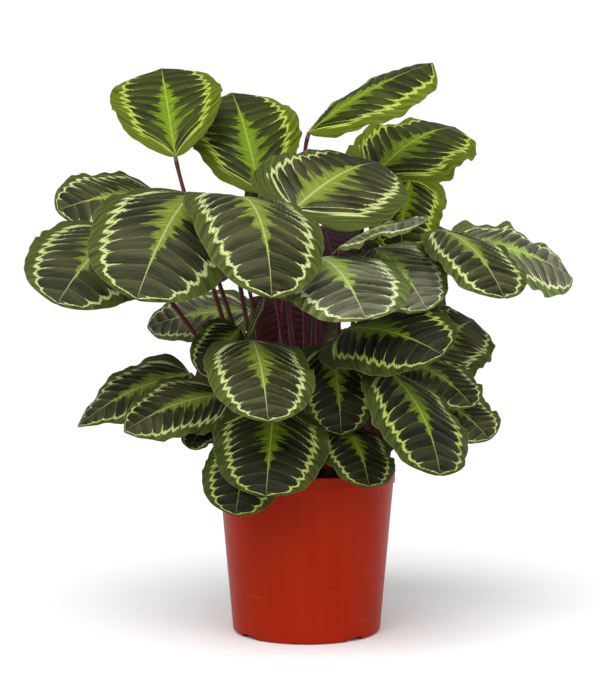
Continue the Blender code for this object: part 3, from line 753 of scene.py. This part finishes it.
def leaf_skin(name, mood, seed):
    """The upper face: a dark field between the veins, a pale ring, a bright feather and a green margin, with painted
    shade and highlight across each pleat and painted sheen in the field.
    """
    n = Nodes(name)
    u, v, left, w, s, turn, vein = vein_grid(n)
    wobble = n.noise(n.vector(n.math("MULTIPLY", u, 3.0), n.math("MULTIPLY", v, 1.5), seed * 3.1))
    s = n.math("ADD", s, n.math("MULTIPLY", n.math("SUBTRACT", wobble, 0.5), 0.05))
    number = n.math("FLOOR", n.math("ADD", turn, 0.5))
    chance = n.random(n.math("ADD", n.math("ADD", number, seed * 7.3), n.math("MULTIPLY", left, 31.7)))
    lane = n.math("ADD", turn, n.math("MULTIPLY", left, 57.0))

    def streaks(across, along, offset, detail=1.0):
        """Noise drawn out along the veins, from 0 to 1."""
        where = n.vector(n.math("MULTIPLY", lane, across), n.math("MULTIPLY", w, along), seed + offset)
        return n.step(n.noise(where, 1.0, detail), 0.28, 0.72)

    fine = n.math("POWER", streaks(13.0, 2.5, 0.0, 2.0), 1.6)
    broad = streaks(3.2, 1.6, 71.0)
    slow = n.noise(n.vector(n.math("MULTIPLY", u, 4.0), n.math("MULTIPLY", left, 9.0), seed + 5.0))

    bulge = n.math("POWER", n.math("MULTIPLY", vein, 2.0), 0.6)
    radius = n.math("MULTIPLY_ADD", bulge, RING_BULGE, RING_RADIUS - RING_BULGE)
    radius = n.math("ADD", radius, n.math("MULTIPLY", n.math("SUBTRACT", slow, 0.5), 0.08))
    to_tip = n.math("POWER", n.math("DIVIDE", n.math("SUBTRACT", 0.995, u), TIP_CUSP, clamp=True), 0.6)
    from_base = n.math("POWER", n.math("DIVIDE", u, BASE_CUSP, clamp=True), 0.5)
    closing = n.math("MULTIPLY", to_tip, from_base)
    radius = n.math("MULTIPLY", radius, closing)
    beyond = n.math("SUBTRACT", w, radius)
    spike = n.math("SUBTRACT", 1.0, n.math("DIVIDE", vein, 0.07), clamp=True)
    spike = n.math("MULTIPLY", n.math("MULTIPLY", spike, chance), 0.22)
    inner = n.math("MULTIPLY_ADD", streaks(13.0, 1.0, 11.0, 2.0), 0.075, n.math("ADD", spike, 0.02))
    broader = n.math("MULTIPLY_ADD", to_tip, -1.2, 2.2)
    inner = n.math("MULTIPLY", inner, broader)
    outer = n.math("MULTIPLY_ADD", streaks(14.0, 1.0, 23.0, 2.0), 0.05, 0.01)
    outer = n.math("MULTIPLY", outer, broader)
    ring = n.math(
        "MULTIPLY",
        n.step(n.math("ADD", beyond, inner), 0.0, 0.014),
        n.step(n.math("SUBTRACT", outer, beyond), 0.0, 0.014),
    )
    broken = n.math("MULTIPLY_ADD", streaks(17.0, 8.0, 91.0, 2.0), 0.45, 0.66, clamp=True)
    ring = n.math("MULTIPLY", ring, broken)

    rise = n.step(s, -0.12, 0.24)
    fall = n.math("SUBTRACT", 1.0, n.step(s, 0.16, 0.86))
    comb = n.math("MULTIPLY_ADD", n.math("POWER", n.math("MULTIPLY", vein, 2.0), 1.3), -0.62, 1.0)
    tooth = n.math("MULTIPLY_ADD", streaks(7.0, 1.0, 37.0, 2.0), 0.75, 0.4)
    reach = n.math("MULTIPLY", n.math("MULTIPLY", n.math("MULTIPLY", rise, fall), comb), tooth)
    reach = n.math("MULTIPLY", reach, FEATHER_REACH)
    feather = n.step(n.math("SUBTRACT", reach, w), -0.012, 0.02)
    gaps = n.math("MULTIPLY", n.math("SUBTRACT", 1.0, streaks(13.0, 2.0, 53.0, 2.0)), n.step(w, 0.04, 0.2))
    feather = n.math("MULTIPLY", feather, n.math("MULTIPLY_ADD", gaps, -0.5, 0.96))
    midrib_width = n.math("MULTIPLY_ADD", u, -0.014, 0.02)
    midrib = n.step(n.math("SUBTRACT", midrib_width, w), -0.006, 0.004)
    margin = n.step(beyond, -0.01, 0.02)
    crease = n.math("SUBTRACT", 1.0, n.step(vein, 0.0, 0.06))
    rim = n.step(w, 0.976, 0.99)
    dry = n.math("MULTIPLY", n.step(u, 0.985, 0.997), 0.8)

    # Paler streaks along the veins, partly the leaf's own fine lines and partly painted sheen; slow patches of painted
    # sheen; broad darker bands, partly painted pleat shade.
    field = n.mix(n.math("MULTIPLY", fine, 0.42), srgb(*mood.dark), srgb(*mood.streak_and_sheen))
    field = n.mix(n.math("MULTIPLY", n.step(slow, 0.42, 0.62), 0.42), field, srgb(*mood.streak_and_sheen))
    field = n.mix(n.math("MULTIPLY", broad, 0.55), field, srgb(*[c * 0.62 for c in mood.dark]))
    edge = n.mix(n.math("MULTIPLY", fine, 0.8), srgb(*mood.margin), srgb(*[c * 0.45 for c in mood.margin]))
    edge = n.mix(n.math("MULTIPLY", broad, 0.6), edge, srgb(*[c * 1.5 for c in mood.margin]))
    colour = n.mix(margin, field, edge)
    # Painted shade on one side of each pleat and a painted highlight on the other side.
    pleat_phase = n.step(n.math("FRACT", turn), 0.0, 1.0)
    painted_pleat_shade = n.math("MULTIPLY", pleat_phase, n.math("MULTIPLY_ADD", margin, -0.6 * PAINTED_PLEAT_SHADE, PAINTED_PLEAT_SHADE))
    colour = n.mix(painted_pleat_shade, colour, srgb(*[c * 0.5 for c in mood.dark]))
    painted_pleat_light = n.math("MULTIPLY", n.math("POWER", n.math("SUBTRACT", 1.0, pleat_phase), 3.0), PAINTED_PLEAT_LIGHT)
    colour = n.mix(painted_pleat_light, colour, srgb(*mood.streak_and_sheen))
    colour = n.mix(n.math("MULTIPLY", crease, 0.16), colour, srgb(120, 124, 70))
    bright = n.mix(fine, srgb(*mood.feather), srgb(*[c * 1.4 for c in mood.feather]))
    colour = n.mix(feather, colour, bright)
    pale = n.mix(n.math("MULTIPLY", fine, 0.5), srgb(*mood.ring), srgb(*[c * 0.84 for c in mood.ring]))
    colour = n.mix(ring, colour, pale)
    colour = n.mix(n.math("MULTIPLY", midrib, 0.75), colour, srgb(*[c * 0.86 for c in mood.ring]))
    colour = n.mix(n.math("MULTIPLY", rim, 0.35), colour, srgb(112, 112, 60))
    colour = n.mix(dry, colour, srgb(40, 26, 16))
    height = n.math("ADD", n.math("MULTIPLY", fine, 0.35), n.math("MULTIPLY", crease, -0.8))
    n.bump(height, 0.0004, 0.5)
    return n.finish(colour, n.math("MULTIPLY_ADD", fine, 0.12, 0.42), Specular_IOR_Level=0.09)


RING_RADIUS = 0.79
TIP_CUSP = 0.05
BASE_CUSP = 0.24
RING_BULGE = 0.13
FEATHER_REACH = 0.5
# Strengths of the painted pleat shade and highlight.
PAINTED_PLEAT_SHADE = 0.34
PAINTED_PLEAT_LIGHT = 0.26


def under_skin():
    """The lower face: wine red with paler veins and a greener edge."""
    n = Nodes("blade_under")
    _, _, _, w, _, turn, vein = vein_grid(n)
    fine = n.noise(n.vector(n.math("MULTIPLY", turn, 13.0), n.math("MULTIPLY", w, 3.0), 4.0), 1.0, 2.0)
    crease = n.math("SUBTRACT", 1.0, n.step(vein, 0.0, 0.07))
    midrib = n.math("SUBTRACT", 1.0, n.step(w, 0.012, 0.03))
    colour = n.mix(fine, srgb(42, 15, 20), srgb(82, 34, 40))
    colour = n.mix(n.step(w, 0.74, 0.86), colour, n.mix(fine, srgb(58, 40, 34), srgb(84, 78, 46)))
    colour = n.mix(n.math("MULTIPLY", n.math("MAXIMUM", crease, midrib), 0.4), colour, srgb(120, 72, 66))
    n.bump(n.math("ADD", fine, crease), 0.0002, 0.35)
    return n.finish(colour, n.math("MULTIPLY_ADD", fine, 0.15, 0.45), Specular_IOR_Level=0.12)


def petiole_skin():
    """Maroon, with red streaks along it that are partly painted highlights, dark streaks, and a greyer joint under the
    blade.
    """
    n = Nodes("petiole_skin")
    split = n.tree.nodes.new("ShaderNodeSeparateXYZ")
    n.tree.links.new(n.tree.nodes.new("ShaderNodeTexCoord").outputs["UV"], split.inputs[0])
    along, around = split.outputs[0], split.outputs[1]
    streak_and_sheen = n.noise(n.vector(n.math("MULTIPLY", along, 4.0), n.math("MULTIPLY", around, 14.0), 2.0), 1.0, 3.0)
    blotch = n.noise(n.place(), 60.0, 3.0)
    # Red streaks on the maroon, partly painted highlights.
    colour = n.mix(n.step(streak_and_sheen, 0.35, 0.7), srgb(34, 11, 12), srgb(98, 26, 28))
    colour = n.mix(n.math("MULTIPLY", n.step(blotch, 0.5, 0.75), 0.5), colour, srgb(66, 42, 30))
    colour = n.mix(n.math("MULTIPLY", n.step(along, 0.945, 0.965), 0.75), colour, srgb(96, 88, 66))
    n.bump(streak_and_sheen, 0.0004, 0.5)
    return n.finish(colour, n.math("MULTIPLY_ADD", streak_and_sheen, 0.2, 0.3), Specular_IOR_Level=0.2)


def sheath_skin():
    """Dry reddish brown, ribbed along its length."""
    n = Nodes("sheath_skin")
    split = n.tree.nodes.new("ShaderNodeSeparateXYZ")
    n.tree.links.new(n.tree.nodes.new("ShaderNodeTexCoord").outputs["UV"], split.inputs[0])
    ribs = n.noise(n.vector(n.math("MULTIPLY", split.outputs[0], 3.0), n.math("MULTIPLY", split.outputs[1], 40.0), 1.0))
    colour = n.mix(n.step(ribs, 0.35, 0.65), srgb(44, 18, 18), srgb(104, 58, 44))
    n.bump(ribs, 0.0008, 0.8)
    return n.finish(colour, n.math("MULTIPLY_ADD", ribs, 0.2, 0.5))


def pot_plastic():
    """Orange-red moulded plastic: faint upright streaks and a few scuffs."""
    n = Nodes("pot_plastic")
    place = n.place()
    split = n.tree.nodes.new("ShaderNodeSeparateXYZ")
    n.tree.links.new(place, split.inputs[0])
    x, y, z = split.outputs
    angle = n.math("ARCTAN2", y, x)
    upright = n.noise(n.vector(n.math("MULTIPLY", angle, 9.0), n.math("MULTIPLY", z, 6.0), 3.0), 1.0, 4.0)
    cloud = n.noise(place, 14.0, 4.0)
    grain = n.noise(place, 900.0, 2.0)
    scuff = n.step(n.noise(n.vector(n.math("MULTIPLY", angle, 2.0), n.math("MULTIPLY", z, 160.0), 8.0), 1.0, 5.0), 0.62, 0.7)
    colour = n.mix(n.step(upright, 0.3, 0.7), srgb(138, 27, 1), srgb(143, 31, 3))
    colour = n.mix(n.math("MULTIPLY", n.step(cloud, 0.45, 0.75), 0.25), colour, srgb(128, 22, 1))
    colour = n.mix(n.math("MULTIPLY", scuff, 0.06), colour, srgb(220, 130, 100))
    near_foot = n.math("SUBTRACT", 1.0, n.step(z, 0.0, 0.05))
    colour = n.mix(n.math("MULTIPLY", near_foot, 0.3), colour, srgb(150, 32, 12))
    n.bump(n.math("ADD", n.math("MULTIPLY", upright, 0.3), n.math("MULTIPLY", grain, 0.4)), 0.0002, 0.4)
    return n.finish(colour, n.math("MULTIPLY_ADD", cloud, 0.12, 0.3), Specular_IOR_Level=0.06)


def peat_skin():
    """Dark damp peat with brown fibres and pale grains."""
    n = Nodes("peat")
    place = n.place()
    lump = n.noise(place, 90.0, 6.0, 0.65)
    fibre = n.noise(place, 420.0, 3.0, 0.6)
    grain = n.step(n.noise(place, 260.0, 1.0), 0.72, 0.76)
    colour = n.mix(n.step(lump, 0.35, 0.7), srgb(22, 15, 11), srgb(62, 42, 30))
    colour = n.mix(n.math("MULTIPLY", n.step(fibre, 0.6, 0.7), 0.5), colour, srgb(96, 70, 50))
    colour = n.mix(n.math("MULTIPLY", grain, 0.8), colour, srgb(176, 168, 154))
    n.bump(n.math("ADD", lump, fibre), 0.0012, 0.8)
    return n.finish(colour, n.math("MULTIPLY_ADD", fibre, 0.2, 0.75))


def floor_paint():
    """Plain pale studio paper, with a very faint unevenness."""
    n = Nodes("studio_paper")
    tone = n.noise(n.place(), 3.0, 2.0)
    colour = n.mix(tone, (0.92, 0.92, 0.92), (0.95, 0.95, 0.95))
    return n.finish(colour, 0.9)


def own(piece, node):
    """Puts a fine piece in place of its node."""
    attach(piece, "root")
    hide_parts(node)


# Which leaves get each painted light copy; the rest get high.
LEAVES_BY_PAINTED_LIGHT = {
    "backlit": (1, 2, 3, 4, 22, 40),
    "low": (12, 13, 16, 17, 18, 25, 29, 30, 31, 35, 36, 37, 38, 39, 43),
    "pale": (10, 19, 20, 21, 24),
}


def mood_of(name):
    number = int(name.split("_")[1])
    for mood, numbers in LEAVES_BY_PAINTED_LIGHT.items():
        if number in numbers:
            return LIT_AND_SHADED_COPIES[mood]
    return LIT_AND_SHADED_COPIES["high"]


def make_plant():
    under = under_skin()
    for place, (name, leaf) in enumerate(LEAVES.items()):
        seed = 0.618 * (place + 1)
        skin = leaf_skin(f"{name}_skin", mood_of(name), seed)
        own(make_blade(f"{name}_fine", leaf, seed, skin, under), name)
    skin, sheath = petiole_skin(), sheath_skin()
    for number in SHOOTS:
        own(make_shoot(number, skin, sheath), f"shoot_{number}")


def area_light(name, place, target, size, power, colour=(1, 1, 1)):
    light = bpy.data.lights.new(name, "AREA")
    light.shape = "DISK"
    light.size = size
    light.energy = power
    light.color = colour
    lamp = bpy.data.objects.new(name, light)
    lamp.location = place
    direction = np.subtract(target, place)
    lamp.rotation_euler = (
        math.atan2(math.hypot(direction[0], direction[1]), -direction[2]),
        0,
        math.atan2(direction[1], direction[0]) - math.pi / 2,
    )
    bpy.context.scene.collection.objects.link(lamp)


def make_studio():
    """A white room: a bright band round the horizon, a darker ceiling and one broad lamp from the front left."""
    world = bpy.data.worlds.new("studio")
    bpy.context.scene.world = world
    world.use_nodes = True
    tree = world.node_tree
    split = tree.nodes.new("ShaderNodeSeparateXYZ")
    tree.links.new(tree.nodes.new("ShaderNodeTexCoord").outputs["Generated"], split.inputs[0])
    fade = tree.nodes.new("ShaderNodeMapRange")
    fade.interpolation_type = "SMOOTHSTEP"
    fade.inputs["From Min"].default_value = HORIZON_BAND
    fade.inputs["From Max"].default_value = CEILING_START
    fade.inputs["To Min"].default_value = HORIZON_LIGHT
    fade.inputs["To Max"].default_value = CEILING_LIGHT
    tree.links.new(split.outputs[2], fade.inputs["Value"])
    background = tree.nodes["Background"]
    background.inputs["Color"].default_value = (1, 1, 1, 1)
    tree.links.new(fade.outputs["Result"], background.inputs["Strength"])
    bpy.context.scene.view_settings.view_transform = "Standard"
    corners = [(-FLOOR_REACH, -FLOOR_REACH, 0), (FLOOR_REACH, -FLOOR_REACH, 0)]
    corners += [(FLOOR_REACH, FLOOR_REACH, 0), (-FLOOR_REACH, FLOOR_REACH, 0)]
    floor = mesh_object("floor", corners, [(0, 1, 2, 3)], [floor_paint()])
    lamp = bpy.data.lights.new("key", "SUN")
    lamp.energy = KEY_LIGHT
    lamp.angle = math.radians(KEY_SOFTNESS)
    key = bpy.data.objects.new("key", lamp)
    key.rotation_euler = (math.radians(KEY_FROM_ABOVE), 0, math.radians(KEY_FROM_LEFT))
    bpy.context.scene.collection.objects.link(key)
    area_light("fill", (1.3, -1.3, 0.7), (0, 0, 0.3), 1.0, 5)


HORIZON_BAND = 0.3
CEILING_START = 0.62
HORIZON_LIGHT = 1.02
CEILING_LIGHT = 0.45
KEY_LIGHT = 2.7
KEY_SOFTNESS = 60.0
KEY_FROM_ABOVE = 36.0
KEY_FROM_LEFT = -14.0
FLOOR_REACH = 4000.0
CAMERA_PLACE = (-0.007, -1.35, 0.297)
CAMERA_LENS = 65.06


def make_camera():
    camera = bpy.data.cameras.new("camera")
    camera.lens = CAMERA_LENS
    camera.sensor_width = 36
    camera.sensor_height = 36
    camera.sensor_fit = "VERTICAL"
    stand = bpy.data.objects.new("camera", camera)
    stand.location = CAMERA_PLACE
    stand.rotation_euler = (math.pi / 2, 0, 0)
    bpy.context.scene.collection.objects.link(stand)
    bpy.context.scene.camera = stand


make_camera()
make_plant()
own(make_pot(pot_plastic()), "pot")
own(make_soil(peat_skin()), "soil")
make_studio()
